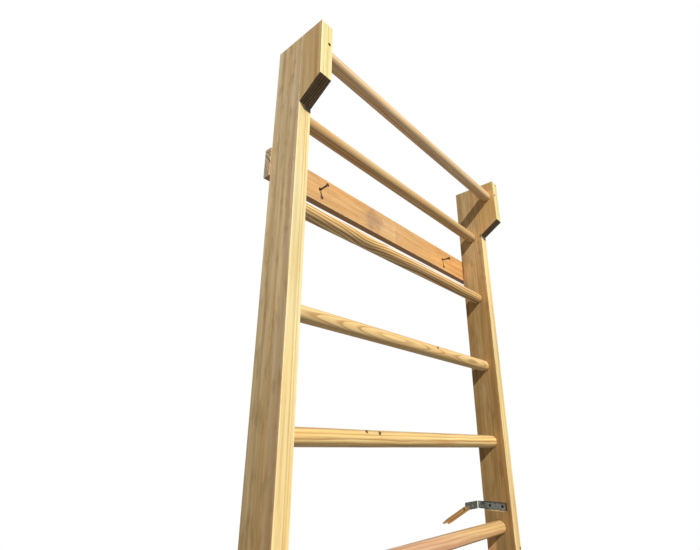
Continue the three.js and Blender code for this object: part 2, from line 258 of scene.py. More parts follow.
class Pine(Graph):
    """A graph that knows where the pith line runs. The methods after rings lay one colour over another."""

    def __init__(self, name, axis, pith, sway, lean):
        super().__init__(bpy.data.materials.new(name))
        self.seed = seed_of(name)
        self.spot = self.place()
        self.coordinates = self.split(self.spot)
        first, second, self.along = (self.coordinates[i] for i in GRAIN_AXES[axis])
        self.first = self.from_pith(first, pith[0], lean[0], sway, self.seed)
        self.second = self.from_pith(second, pith[1], lean[1], sway, self.seed + 31)

    def wander(self, seed, waves):
        """A slow random curve along the grain, from -1 to 1, with so many waves in a metre."""
        value = self.noise(self.combine(seed, seed * 0.37, self.times(self.along, waves * MM)), 1.5)
        return self.math("MULTIPLY_ADD", value, 2.0, -1.0)

    def from_pith(self, coordinate, pith, lean, sway, seed):
        """How far a coordinate is from the pith line, which wanders and leans along the grain."""
        reach, waves = sway
        away = self.math("MULTIPLY_ADD", self.wander(seed, waves), reach, self.minus(coordinate, pith))
        return self.math("MULTIPLY_ADD", self.along, lean, away)

    def drawn_out(self, across, along, detail, rough=0.5, swapped=False):
        """Noise drawn out along the grain, with so many cells in a millimetre across and along it."""
        first, second = (self.second, self.first) if swapped else (self.first, self.second)
        cells = [self.times(first, across), self.times(second, across), self.times(self.along, along)]
        return self.noise(self.combine(*cells), detail, rough)

    def edge_distance(self, box):
        """How far a point on a box is from the nearest edge of the box."""
        depths = []
        for coordinate, low, high in zip(self.coordinates, *box):
            from_low = self.minus(coordinate, low / MM)
            to_high = self.minus(high / MM, coordinate)
            depths.append(self.math("MINIMUM", from_low, to_high))
        least = self.math("MINIMUM", depths[0], depths[1])
        most = self.math("MAXIMUM", depths[0], depths[1])
        return self.math("MAXIMUM", least, self.math("MINIMUM", most, depths[2]))

    def rings(self, ring, swells, knots, late_from, uneven):
        """Works out how dark the growth rings are at each place, and where the knots lie in them."""
        ripple = self.minus(self.drawn_out(*RIPPLES), 0.5)
        from_pith = self.length(self.combine(self.first, self.second, 0.0))
        radius = self.math("MULTIPLY_ADD", ripple, ring * RIPPLE_HEIGHT, from_pith)
        for centre, reach, rise in swells:
            away = self.distance(self.along, centre)
            radius = self.plus(radius, self.smooth(away, reach, 0.0, 0.0, rise))
        self.knot_share = 0.0
        for middle, size in knots:
            away = self.length(self.vector("SUBTRACT", self.spot, middle))
            away = self.math("MULTIPLY_ADD", ripple, size * 0.5, away)
            radius = self.plus(radius, self.smooth(away, size * 4.0, size * 0.5, 0.0, size * 0.1))
            self.knot_share = self.math("MAXIMUM", self.knot_share, self.smooth(away, size, size * 0.55))
        year = self.math("DIVIDE", radius, ring)
        change = self.noise(self.combine(self.times(year, 0.55), self.seed, 0.0), 1.0)
        year = self.math("MULTIPLY_ADD", change, uneven, year)
        season = self.math("FRACT", year)
        late = self.times(self.smooth(season, late_from, DARKEST_AT), self.smooth(season, *DARK_ENDS))
        vigour = self.smooth(self.chance(self.math("FLOOR", year)), 0.0, 1.0, LEAST_VIGOUR, 1.0)
        self.late = self.times(late, vigour)

    def lay(self, share, factor):
        """Lays a colour factor over the wood, to that share."""
        self.colour = self.tint(share, self.colour, factor)

    def grain(self, tone, contrast, streaks, fleck, smear):
        """The colours of the rings, with clouds, warmer patches, streaks, smears and flecks over them."""
        cloud = self.drawn_out(*CLOUDS)
        hue = self.drawn_out(*HUES, swapped=True)
        smudge = self.drawn_out(*SMUDGES, swapped=True)
        smudge = self.times(self.smooth(smudge, 0.5, 0.68, 0.0, smear[0]), self.facing(smear[1], both=True))
        spark = self.drawn_out(*fleck[:2], FLECK_DETAIL)
        self.streak = self.drawn_out(streaks[0], *STREAK_RUN)
        self.colour = self.mix(self.times(self.late, contrast), rgb(*tone["early"]), rgb(*tone["late"]))
        self.lay(self.smooth(cloud, 0.38, 0.66, 0.0, 0.8), CLOUD)
        self.lay(self.smooth(hue, 0.4, 0.65, 0.0, 0.8), WARM)
        self.colour = self.dim(self.colour, self.smooth(self.streak, 0.3, 0.7, *streaks[1:]))
        self.lay(smudge, SMEAR)
        self.lay(self.smooth(spark, 0.6, 0.72, 0.0, fleck[2]), FLECK)

    def casts(self, casts):
        """Painted light and shade: colours of the faces that look one way, standing in for how the light
        falls on them.
        """
        for way, factor, start, finish in casts:
            self.lay(self.times(self.facing(way), self.smooth(self.along, start, finish)), factor)

    def bands(self, bands):
        """Wavering lines along the grain, weaker in places."""
        for order, (axis, centre, width, factor) in enumerate(bands):
            seed = self.seed + 7 * order
            across = self.coordinates[AXIS_INDEX[axis]]
            across = self.math("MULTIPLY_ADD", self.wander(seed, 1.1), width * 0.35, across)
            strength = self.smooth(self.wander(seed + 3, 2.3), -0.4, 0.3, 0.55, 1.0)
            away = self.distance(across, centre)
            self.lay(self.times(self.smooth(away, width, width * 0.25), strength), factor)

    def stains_and_painted_light(self, stains_and_painted_light):
        """Oval patches with soft, ragged edges: real stains, and also painted light and shade."""
        for middle, size, ragged, factor in stains_and_painted_light:
            away = self.length(self.vector("DIVIDE", self.vector("SUBTRACT", self.spot, middle), size))
            patch = self.patches(self.spot, (0.03, 0.03, 0.03), 4.0, 0.65)
            away = self.math("MULTIPLY_ADD", self.minus(patch, 0.5), ragged, away)
            self.lay(self.smooth(away, 1.0, 0.3), factor)

    def rims(self, rims):
        """Dark rings round the round holes in the side faces, painted shade in the gap round each rung."""
        for way, depth, height, pitch, hole in rims:
            rise = self.math("PINGPONG", self.minus(self.coordinates[2], height), pitch / 2)
            away = self.length(self.combine(self.minus(self.coordinates[1], depth), rise, 0.0))
            self.lay(self.times(self.smooth(away, hole + 2.2, hole + 0.4), self.facing(way)), HOLE_GAP_SHADE)

    def wear(self, box, worn, up_to):
        """The edges of the box, rubbed in patches up to a place along the grain."""
        rubbed = self.patches(self.spot, (0.05, 0.05, 0.02), 3.0)
        share = self.smooth(self.edge_distance(box), *WORN_WIDTH)
        share = self.times(share, self.smooth(rubbed, 0.42, 0.62, 0.2, 0.75))
        share = self.times(share, self.smooth(self.along, up_to, up_to - WORN_FADE))
        self.colour = self.mix(share, self.colour, rgb(*worn))

    def ends(self, axis, tone):
        """The sawn ends, where the rings are dark lines, and painted shade on the undersides."""
        end = self.facing(GRAIN_WAY[axis], 0.45, 0.75, both=True)
        self.lay(end, tone["end"])
        self.lay(self.times(end, self.smooth(self.late, 0.1, 0.6)), tone["end_line"])
        self.lay(self.facing(TO_FLOOR, 0.5, 0.8), tone["under"])

    def surface(self, relief, gloss):
        """Closes the graph. The dark rings and the fibres stand up a little, and the knots lie deeper."""
        fibre = self.drawn_out(*FIBRES)
        height = self.math("MULTIPLY_ADD", self.late, 0.5, self.times(fibre, 0.5))
        height = self.minus(height, self.knot_share)
        rough = self.smooth(self.streak, 0.2, 0.8, 0.52 - gloss, 0.7 - gloss)
        return self.finish(height, relief, Base_Color=self.colour, Roughness=rough, Specular_IOR_Level=0.35)


def pine(name, axis, pith, ring, tone, box, contrast=0.6, sway=(3.0, 1.3), lean=(0.0, 0.0), swells=(),
         late_from=0.25, uneven=1.6, bands=(), knots=(), stains_and_painted_light=(), casts=(), rims=(), smear=(0.0, TO_LEFT),
         streaks=(0.26, 0.9, 1.07), fleck=(0.9, 0.035, 0.4), gloss=0.0, relief=0.22, worn_up_to=FAR):
    """Pine whose growth rings run round a pith line.

    axis       of the grain
    pith       the two other coordinates of the pith line
    ring       the width of one growth ring
    tone       the colours, and the factors of the ends and of the undersides, which are painted shade
    box        the two corners of the box whose edges are worn
    contrast   of the dark part of the rings
    sway       how far the pith line wanders, and its waves in a metre
    lean       the pith line's slope across its two coordinates
    swells     each a place along the grain, how far it reaches and how far it pushes the rings out
    late_from  the share of a ring where its dark part begins
    uneven     how much the rings differ in width
    bands      each the axis across it, its middle, its half width and its colour factor
    knots      each its middle and its size
    stains     each its middle, its half sizes, how ragged it is and its colour factor
    casts      painted light and shade: each the way of its faces, its colour factor and the two places between which it grows
    rims       dark rings of painted gap shade round holes: way of the face, depth, height, pitch and radius
    smear      the strength of long dark smears and the way of their faces
    streaks    cells in a millimetre across the grain, and how dark and how light they are
    fleck      cells in a millimetre across and along the grain, and their strength
    gloss      how much smoother than bare wood
    relief     the height of the bump
    worn_up_to the place along the grain where the worn edges end
    """
    wood = Pine(name, axis, pith, sway, lean)
    wood.rings(ring, swells, knots, late_from, uneven)
    wood.grain(tone, contrast, streaks, fleck, smear)
    wood.casts(casts)
    wood.bands(bands)
    wood.stains_and_painted_light(stains_and_painted_light)
    wood.rims(rims)
    wood.colour = wood.mix(wood.knot_share, wood.colour, rgb(*tone["knot"]))
    wood.wear(box, tone["worn"], worn_up_to)
    wood.ends(axis, tone)
    return wood.surface(relief, gloss)


# Steel

STRAP_END = (4.5, 2.5)  # how far from its front end a strap begins to darken and is dark in full
NEAR_BEND = (45.3, 21.3)  # how far from the plane of the wall the painted darker reflection near the bend begins and is full
WALL_LEG = (5.3, 2.3)  # how far from that plane the leg along it begins and is all there
WALL_LEG_HOLES = (17.5, 48.5)  # from the free end of that leg
BEND_LINE = 80.5  # from the free end too
HOLE_EDGE = 4.0  # the radius at the top of a countersunk hole
CRYSTAL_CELLS = 0.16  # in a millimetre
ZINC_DIM = (0.5, 0.54, 0.54)
ZINC_PALE = (0.75, 0.8, 0.79)
ZINC_GRIME = (0.13, 0.13, 0.12)
# Painted light and shade: a darker reflection near the bend, shade over the wall leg and inside its holes,
# a glint.
BEND_REFLECTION_SHADE = (0.42, 0.45, 0.42)
END_DARKENING = (0.22, 0.17, 0.13)
WALL_LEG_SHADE = (0.52, 0.47, 0.4)
HOLE_RING = (0.5, 0.48, 0.44)
HOLE_SHADE = (0.12, 0.1, 0.08)
BEND_GLINT = (0.85, 0.84, 0.82)


def zinc(name, bracket):
    """Zinc plating: crystal patches and grime, a painted darker reflection near the bend in patches,
    painted shade over the leg along the wall, a painted glint along the bend, a pale ring round each hole
    of that leg with painted shade inside it, and a darker front end."""
    low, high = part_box(bracket)
    front = low.y / MM
    wall = high.y / MM
    middle = middle_of(bracket).z / MM
    free_end = min(abs(low.x), abs(high.x)) / MM
    graph = new_graph(name)
    place = graph.place()
    across, depth, height = graph.split(place)
    inward = graph.minus(graph.math("ABSOLUTE", across), free_end)
    from_front = graph.minus(depth, front)
    to_wall = graph.minus(wall, depth)
    crystals = graph.add("ShaderNodeTexVoronoi", {"Vector": place, "Scale": CRYSTAL_CELLS})
    crystal = graph.split(crystals.outputs["Color"])[0]
    grime = graph.patches(place, (0.09, 0.09, 0.14), 4.0, 0.65)
    scratch = graph.patches(place, (0.2, 0.2, 3.0))
    wall_leg = graph.smooth(to_wall, *WALL_LEG)
    colour = graph.mix(crystal, rgb(*ZINC_DIM), rgb(*ZINC_PALE))
    colour = graph.mix(graph.smooth(grime, 0.45, 0.7, 0.0, 0.75), colour, rgb(*ZINC_GRIME))
    # A painted darker reflection near the bend, in patches, then the darker front end and painted shade
    # over the wall leg.
    bend_reflection_shade = graph.times(graph.smooth(to_wall, *NEAR_BEND), graph.smooth(grime, 0.35, 0.6, 0.45, 1.0))
    colour = graph.tint(bend_reflection_shade, colour, BEND_REFLECTION_SHADE)
    colour = graph.tint(graph.smooth(from_front, *STRAP_END), colour, END_DARKENING)
    colour = graph.tint(wall_leg, colour, WALL_LEG_SHADE)
    clean = graph.smooth(grime, 0.6, 0.4, 0.3, 1.0)
    in_plate = graph.smooth(to_wall, WALL_LEG[0], WALL_LEG[0] - 1.0)
    for hole in WALL_LEG_HOLES:
        away = graph.length(graph.combine(graph.minus(inward, hole), graph.minus(height, middle), 0.0))
        ring = graph.times(graph.smooth(away, HOLE_EDGE + 2.0, HOLE_EDGE), clean)
        colour = graph.mix(graph.times(ring, wall_leg), colour, rgb(*HOLE_RING))
        # Painted shade inside the hole.
        inside = graph.times(graph.smooth(away, HOLE_EDGE + 0.4, HOLE_EDGE - 0.4), in_plate)
        colour = graph.tint(inside, colour, HOLE_SHADE)
    # A painted glint along the bend.
    glint = graph.times(graph.smooth(graph.distance(inward, BEND_LINE), 2.2, 1.0), wall_leg)
    colour = graph.mix(glint, colour, rgb(*BEND_GLINT))
    metal = graph.smooth(glint, 0.0, 1.0, 0.85, 0.1)
    rough = graph.smooth(grime, 0.3, 0.7, 0.34, 0.62)
    relief = graph.plus(scratch, crystal)
    return graph.finish(relief, 0.05, Base_Color=colour, Roughness=rough, Metallic=metal)


def dark_steel(name, plain=(0.07, 0.052, 0.042), rusty=(0.16, 0.075, 0.03), metal=0.55):
    """Dark wood screws, with rust in patches."""
    graph = new_graph(name)
    place = graph.place()
    rust = graph.patches(place, (0.45, 0.45, 0.45), 4.0, 0.65)
    grit = graph.patches(place, (3.0, 3.0, 3.0))
    colour = graph.mix(graph.smooth(rust, 0.4, 0.65), rgb(*plain), rgb(*rusty))
    colour = graph.dim(colour, graph.smooth(grit, 0.3, 0.7, 0.7, 1.15))
    rough = graph.smooth(rust, 0.35, 0.65, 0.42, 0.75)
    return graph.finish(grit, 0.06, Base_Color=colour, Roughness=rough, Metallic=metal)


# Dressing the nodes that keep their shape

def dress(name, material):
    nodes[name].material_slots[0].material = material


def rim_of(number, pitch, way):
    """The rims of a rung's hole and of those at that pitch from it, in the faces that look that way."""
    low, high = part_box(f"rung_{number:02d}")
    middle = (low + high) / 2 / MM
    return way, middle.y, middle.z, pitch, (high.z - low.z) / 2 / MM


UPRIGHT_PITH = (575, 30)
UPRIGHT_RING = 10.5
HEAD_PITH = (640, -70)
HEAD_RING = 6.5
HEAD_PLAIN_REAR = 10  # puts the rear end of the box whose edges are worn past the block
DOWEL_PITH = (0, 2200)
DOWEL_RING = 5
BOARD_PITH = (170, -60)  # depth, and height from the board's middle
BOARD_RING = 9.0
STRIP_PITH = (60, 1304)
STRIP_RING = 7.5
LINE = (0.88, 0.71, 0.5)
# Painted light and shade: the faces that look left are made lighter, and the heads' fronts darker, for how
# light falls.
LEFT_FACE_LIGHT = (TO_LEFT, (1.28, 1.3, 1.28), *WHOLE)
HEAD_FACE_LIGHT = [(TO_FRONT, (0.73, 0.98, 0.98), *WHOLE), LEFT_FACE_LIGHT]
# Painted light and shade below: faces looking left and to the front get their own colours, darker lower
# down in places.
UPRIGHT_LOOKS = {
    "left": dict(
        contrast=0.35,
        smear=(0.5, TO_LEFT),
        streaks=(0.2, 0.9, 1.08),
        bands=[
            ("y", -8, 15, (0.84, 0.78, 0.78)),
            ("y", 45, 7, (0.84, 0.79, 0.68)),
            ("y", 16, 4, (0.95, 0.82, 0.66)),
            ("x", -470.5, 2.2, LINE),
            ("x", -464.0, 1.6, LINE),
        ],
        casts=[
            (TO_LEFT, (1.43, 1.6, 1.9), *WHOLE),
            (TO_LEFT, (0.64, 0.59, 0.49), 2000, 1100),
            (TO_FRONT, (0.75, 0.94, 1.02), *WHOLE),
            (TO_FRONT, (0.98, 0.92, 0.85), 2150, 1200),
        ],
    ),
    "right": dict(
        contrast=0.45,
        smear=(0.45, TO_LEFT),
        streaks=(0.13, 0.84, 1.14),
        bands=[
            ("y", -6, 14, (0.98, 0.88, 0.74)),
            ("y", 9, 2.5, (0.8, 0.68, 0.52)),
            ("y", 57, 13, (0.86, 0.8, 0.72)),
            ("x", 455, 5, (0.8, 0.72, 0.6)),
            ("x", 481, 2.4, LINE),
        ],
        casts=[
            LEFT_FACE_LIGHT,
            (TO_LEFT, (1.04, 1.12, 1.3), 1850, 2100),
            (TO_LEFT, (0.71, 0.69, 0.64), 2250, 1700),
            (TO_LEFT, (0.84, 0.83, 0.82), 1400, 1150),
            (TO_FRONT, (0.67, 0.77, 0.7), 2250, 1700),
            (TO_FRONT, (0.97, 0.9, 0.95), 1500, 1200),
        ],
        knots=[((487, -23, 1130), 5)],
    ),
}
HEAD_LOOKS = {
    "left": dict(
        bands=[("y", -74, 10, (0.94, 0.8, 0.62)), ("x", -482, 2.0, LINE), ("x", -470, 2.4, LINE)],
    ),
    "right": dict(
        bands=[("y", -40, 9, (0.94, 0.8, 0.62)), ("x", 455, 5, (0.94, 0.86, 0.7)), ("x", 479, 2.4, LINE)],
        knots=[((489, -91, 2396), 6)],
    ),
}


def head_shade_and_joint(side, way):
    """Painted shade on an upright beside its head block: the block's shadow in the corner under it, most of
    it on the inner side, and a dark joint line where the upright's eased front edges meet the block."""
    upright = f"upright_{side}"
    head = f"head_block_{side}"
    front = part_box(upright)[0].y / MM
    across = middle_of(upright).x / MM
    corner = (across - way * 15, front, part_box(head)[0].z / MM - 4)
    seam = (across, front, middle_of(head).z / MM)
    return [(corner, (24, 12, 13), 0.3, (0.34, 0.33, 0.33)), (seam, (70, 2.4, 150), 0.0, (0.4, 0.37, 0.34))]


def inner_painted_light():
    """On the right upright's inner face, all painted light and shade: shade along the rear edge, darker
    shade beside the upper board, light in a pale patch below the bracket and a highlight along the
    bracket's lower edge."""
    low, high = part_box("upright_right")
    inner = low.x / MM
    rear = high.y / MM
    board = middle_of("wall_board_upper").z / MM
    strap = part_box("angle_bracket_right")[0].z / MM
    return [
        ((inner, rear, 1300), (3.5, 3.5, 2500), 0.2, (0.5, 0.46, 0.42)),
        ((inner, rear, board + 11.5), (6, 9, 55), 0.1, (0.25, 0.21, 0.16)),
        ((inner, rear - 1, strap - 92), (20, 38, 60), 0.3, (2.2, 2.0, 2.4)),
        ((inner, rear - 38, strap - 1.7), (4, 45, 2.4), 0.1, (2.2, 2.6, 3.4)),
    ]


def dress_uprights():
    for side, way in SIDES.items():
        upright = f"upright_{side}"
        stains_and_painted_light = head_shade_and_joint(side, way)
        if side == "right":
            stains_and_painted_light.extend(inner_painted_light())
        material = pine(
            f"pine_{upright}", "z", (way * UPRIGHT_PITH[0], UPRIGHT_PITH[1]), UPRIGHT_RING, UPRIGHT_TONE,
            box_of(upright), stains_and_painted_light=stains_and_painted_light, rims=[rim_of(2, RUNG_PITCH, (-way, 0, 0))],
            worn_up_to=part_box(f"head_block_{side}")[0].z / MM, **UPRIGHT_LOOKS[side])
        dress(upright, material)


def dress_heads():
    for side, way in SIDES.items():
        head = f"head_block_{side}"
        low, high = box_of(head)
        outer_edges = (low, (high[0], high[1] + HEAD_PLAIN_REAR * MM, high[2]))
        # The dark spot round the screw hole in the block's front is painted shade of the deep hole.
        screw = middle_of(f"head_screw_{side}")
        hole = (screw.x / MM, low[1] / MM, screw.z / MM)
        material = pine(
            f"pine_{head}", "z", (way * HEAD_PITH[0], HEAD_PITH[1]), HEAD_RING, UPRIGHT_TONE, outer_edges,
            contrast=0.45, uneven=0.5, casts=HEAD_FACE_LIGHT, rims=[rim_of(1, FAR, (-way, 0, 0))],
            stains_and_painted_light=[(hole, (6.5, 6.5, 6.5), 0.3, (0.14, 0.11, 0.09))], **HEAD_LOOKS[side])
        dress(head, material)


def dress_dowels():
    for side in SIDES:
        dowel = f"head_dowel_{side}"
        dress(dowel, pine(f"pine_dowel_{side}", "x", DOWEL_PITH, DOWEL_RING, UPRIGHT_TONE, box_of(dowel)))


def dress_brackets():
    for side in SIDES:
        bracket = f"angle_bracket_{side}"
        dress(bracket, zinc(f"zinc_{bracket}", bracket))


def dress_boards():
    for level in LEVELS:
        board = f"wall_board_{level}"
        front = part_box(board)[0].y / MM
        middle = middle_of(board).z / MM
        stains_and_painted_light = []
        # Dark discs round the wall screws: painted shade of the holes they sit in.
        for side in SIDES:
            across = middle_of(f"wall_screw_{level}_{side}").x / MM
            stains_and_painted_light.append(((across, front, middle), (8, 8, 8), 0.3, (0.22, 0.15, 0.08)))
        pale = ((-50, front, middle), (150, 60, 60), 1.6, (1.02, 1.1, 1.3))
        warm = ((390, front, middle), (260, 60, 90), 0.8, (1.06, 0.95, 0.78))
        grey = ((-98, front, middle), (56, 60, 52), 2.0, (0.7, 0.68, 0.76))
        bleached = ((8, front, middle - 6), (12, 60, 45), 0.8, (1.08, 1.14, 1.25))
        stains_and_painted_light.extend([pale, warm, grey, bleached])
        pith = (BOARD_PITH[0], middle + BOARD_PITH[1])
        material = pine(
            f"pine_{board}", "x", pith, BOARD_RING, BOARD_TONE, box_of(board), contrast=0.3, stains_and_painted_light=stains_and_painted_light,
            smear=(0.3, TO_FRONT), streaks=(0.07, 0.9, 1.08), fleck=(0.4, 0.07, 0.35))
        dress(board, material)


def dress_strip():
    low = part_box("broken_strip")[0] / MM
    screw = middle_of("broken_strip_screw") / MM
    grey_tip = ((low.x, low.y, low.z + 3), (24, 9, 9), 0.3, (1.25, 1.6, 2.4))
    pale_tip = ((low.x + 28, low.y, low.z), (18, 9, 9), 0.3, (1.7, 1.7, 1.6))
    hole = ((screw.x, low.y, screw.z), (7, 7, 6), 0.3, (0.2, 0.16, 0.12))
    material = pine(
        "pine_broken_strip", "x", STRIP_PITH, STRIP_RING, STRIP_TONE, box_of("broken_strip"), contrast=1.0,
        sway=(0.5, 1.3), lean=(0.0, -0.21), uneven=0.5, stains_and_painted_light=[grey_tip, pale_tip, hole])
    dress("broken_strip", material)


# New pieces

SHARP_ANGLE = 35.0


def new_piece(name, mesh, material, node):
    """A piece that rides on the body and stands for a node."""
    piece = bpy.data.objects.new(name, mesh)
    bpy.context.scene.collection.objects.link(piece)
    mesh.materials.clear()
    mesh.materials.append(material)
    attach(piece, BODY)
    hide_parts(node)


def mesh_of(name, shape):
    """A mesh with smooth shading except over sharp edges, from a bmesh that is used up."""
    bmesh.ops.recalc_face_normals(shape, faces=shape.faces)
    mesh = bpy.data.meshes.new(name)
    shape.to_mesh(mesh)
    shape.free()
    mesh.shade_smooth()
    mesh.set_sharp_from_angle(angle=math.radians(SHARP_ANGLE))
    return mesh


def skin(shape, rows):
    """Joins rows of points into a closed skin with flat ends. Each row goes once round."""
    rings = [[shape.verts.new(point) for point in row] for row in rows]
    count = len(rings[0])
    for ring, following in zip(rings, rings[1:]):
        for i in range(count):
            j = (i + 1) % count
            shape.faces.new((ring[i], ring[j], following[j], following[i]))
    shape.faces.new(rings[0])
    shape.faces.new(rings[-1])


# Rungs

ROD_SIDES = 64
ROD_ROWS = 120
ROD_EASE = 1.2 * MM
ROD_SEAT = 20 * MM  # true from each end up to here
ROD_RAMP = 60 * MM  # and bowed and dented in full this much further in
ROD_BOW = 0.5 * MM
BOW_WAVES = 2.0  # in a metre
ROD_DENT = 0.14 * MM
DENT_WAVES = 14.0  # in a metre
DENT_TURN = 1.6


def turned_rod(name):
    """A rung that isn't quite round and not quite straight, true where it sits in its sockets."""
    low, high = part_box(name)
    axis = (low + high) / 2
    radius = (high.z - low.z) / 2
    span = high.x - low.x
    step = (span - 2 * ROD_EASE) / (ROD_ROWS - 1)
    stops = [0.0] + [ROD_EASE + step * i for i in range(ROD_ROWS)] + [span]
    seed = seed_of(name)
    rows = []
    for stop in stops:
        inset = min(stop, span - stop)
        free = min(max((inset - ROD_SEAT) / ROD_RAMP, 0.0), 1.0)
        bow = ROD_BOW * free * noise.noise(Vector((seed, stop * BOW_WAVES, 0.0)))
        eased = ROD_EASE if inset < ROD_EASE / 2 else 0.0
        row = []
        for i in range(ROD_SIDES):
            turn = 2 * math.pi * i / ROD_SIDES
            way = Vector((0.0, math.cos(turn), math.sin(turn)))
            cell = Vector((seed + stop * DENT_WAVES, way.y * DENT_TURN, way.z * DENT_TURN))
            dent = ROD_DENT * free * noise.noise(cell)
            row.append(Vector((low.x + stop, axis.y, axis.z + bow)) + way * (radius - eased + dent))
        rows.append(row)
    shape = bmesh.new()
    skin(shape, rows)
    return mesh_of(name, shape)


INK = (0.02, 0.02, 0.02)
# Painted shade: the upper faces of a rung a little darker, for how the light falls on them.
PAINTED_TOP_SHADE = (TO_TOP, (0.8, 0.8, 0.9), *WHOLE)


def dot(x, y, z):
    """The stains of a small dark dot on the front of a rung, high up."""
    return [((x + 2.6 * way, y + 2.2 * way, z + 1.5 * way), (6.0, 5.6, 5.6), 0.1, INK) for way in (-1, 1)]


def painted_top_highlight(number, middle, reach, factor):
    """A painted highlight on a rung's sunlit upper front, that far to both sides of a place along it."""
    axis = middle_of(f"rung_{number:02d}") / MM
    return (middle, axis.y - 14, axis.z + 19), (reach, 20, 20), 0.3, factor


# The looks of each rung: shade is how light it is, pith is seen from its axis, and the rest is as in pine.
RUNG_LOOKS = {
    1: dict(
        shade=(1.09, 1.1, 1.4), pith=(34, 26), ring=5.5, sway=(2.0, 1.6), lean=(0.004, 0.002), contrast=0.6,
        stains_and_painted_light=[painted_top_highlight(1, 0, 600, (1.04, 1.2, 1.8))],
    ),
    2: dict(
        shade=(0.97, 0.94, 1.0), pith=(-22, 38), ring=5.0, sway=(2.5, 2.2), lean=(0.006, -0.004),
        contrast=0.65,
        knots=[((420, 17, 2166.5), 3.5)],
        stains_and_painted_light=[painted_top_highlight(2, -60, 480, (1.08, 1.3, 2.0))],
    ),
    3: dict(
        shade=(1.06, 1.04, 1.04), pith=(-42, 56), ring=8.0, sway=(0.6, 1.5), late_from=0.3, contrast=1.15,
        swells=[(-206, 105, -7.0), (-206, 300, -9.0)],
        stains_and_painted_light=[painted_top_highlight(3, 100, 520, (1.15, 1.5, 2.9))],
    ),
    4: dict(
        shade=(1.0, 1.0, 1.02), pith=(65.2, 4), ring=2.8, sway=(1.0, 2.0), late_from=0.5, contrast=0.75,
        casts=[PAINTED_TOP_SHADE],
        swells=[(-95, 380, 10.0), (335, 190, 7.0)],
        stains_and_painted_light=dot(122.6, 5.1, 1695.5),
    ),
    5: dict(
        shade=(1.04, 1.06, 1.02), pith=(-4, 60.2), ring=9.6, sway=(2.2, 3.0), lean=(0.002, -0.004),
        contrast=0.75,
        casts=[PAINTED_TOP_SHADE],
        stains_and_painted_light=[
            *dot(-207.9, 10.0, 1450.5),
            *dot(-163.3, 6.8, 1447.6),
            ((125, 2, 1430), (100, 30, 9), 0.9, (0.9, 0.76, 0.66)),
        ],
    ),
    6: dict(
        shade=(0.77, 0.72, 0.72), pith=(8, 52), ring=9.0, sway=(5.0, 2.4), lean=(0.004, 0.012),
        contrast=0.5,
        stains_and_painted_light=[
            # A pinkish patch on the left part, then a lighter band along the lower front that is painted
            # bounce light.
            ((-120, 5, 1190), (460, 60, 60), 0.9, (1.0, 0.92, 1.25)),
            ((200, 3, 1176), (700, 16, 14), 0.2, (1.42, 1.3, 1.3)),
        ],
    ),
    7: dict(shade=(1.0, 1.0, 1.0), pith=(30, -34), ring=5.2, sway=(3.0, 2.0), lean=(0.006, 0.002)),
    8: dict(
        shade=(1.05, 1.04, 1.0), pith=(-36, 20), ring=5.8, sway=(4.0, 1.8), lean=(-0.01, 0.006),
        knots=[((-260, 3, 690), 3.0)],
    ),
    9: dict(shade=(1.08, 1.08, 1.1), pith=(58, -8), ring=4.2, sway=(1.5, 2.2), swells=[(120, 330, 11.0)]),
    10: dict(shade=(0.97, 0.96, 0.95), pith=(18, 44), ring=6.4, sway=(3.0, 2.2), lean=(0.004, 0.008)),
}
RUNG_SURFACE = dict(uneven=0.7, fleck=(0.9, 0.02, 0.15), gloss=0.1, relief=0.08)
RUNG_CONTRAST = 0.9


def shaded(colour, shade):
    return tuple(part * share for part, share in zip(colour, shade))


def make_rungs():
    for number in range(1, RUNG_COUNT + 1):
        node = f"rung_{number:02d}"
        axis = middle_of(node) / MM
        looks = {"contrast": RUNG_CONTRAST, **RUNG_SURFACE, **RUNG_LOOKS[number]}
        off = looks.pop("pith")
        pith = (axis.y + off[0], axis.z + off[1])
        shade = looks.pop("shade")
        tone = dict(RUNG_TONE)
        for part in ("early", "late"):
            tone[part] = shaded(RUNG_TONE[part], shade)
        material = pine(f"pine_{node}", "x", pith, tone=tone, box=box_of(node), **looks)
        new_piece(f"{node}_turned", turned_rod(node), material, node)


# Screws

SCREW_SIDES = 32
SCREW_RIM = 0.6
SCREW_LAP = 0.3  # the head's neck and the shank run this far into each other
THREAD_ROWS = 8  # in each turn
THREAD_CORE = 0.7  # of the shank's radius
THREAD_WIDTH = 0.34  # of half a ridge, in turns
POINT = 0.15  # of the shank's radius is left at the tip
SHANK_EASE = 0.985  # of the neck's radius
TIP_CUT = 0.2  # left off the point
CROSS_REACH = 0.56  # of the head's radius
CROSS_HALF = 0.13  # of the same
CROSS_DEPTH = 0.62  # of the cone's height
CROSS_TOP = (-1.0, 1.12)  # depth above the head, and how much wider it is there
CROSS_TAPER = 0.62  # how wide it is at the bottom
SPIN_STEP = 0.1
WALL_SCREW_TILTS = {"left": math.radians(6), "right": math.radians(-4)}

# Each screw: the radius of head and shank, the height of the cone, the length of the point, the pitch of
# the thread and how far in it begins.
SCREWS = {
    "head_screw": dict(head=4.0, shank=2.5, cone=3.5, tip=4.0, pitch=2.2, plain=30.0),
    "board_screw": dict(head=4.75, shank=2.5, cone=3.5, tip=4.0, pitch=2.2, plain=14.0),
    "wall_screw": dict(head=5.5, shank=2.75, cone=4.5, tip=4.5, pitch=2.4, plain=9.0),
    "bracket_screw": dict(head=3.75, shank=2.0, cone=2.8, tip=3.0, pitch=1.8, plain=3.0),
    "broken_strip_screw": dict(head=3.25, shank=1.75, cone=2.4, tip=0.8, pitch=1.6, plain=2.5),
}
SCREW_WAYS = {
    "+y": Matrix.Identity(4),
    "-y": Matrix.Rotation(math.pi, 4, "X"),
    "+x": Matrix.Rotation(-math.pi / 2, 4, "Z"),
    "-x": Matrix.Rotation(math.pi / 2, 4, "Z"),
}


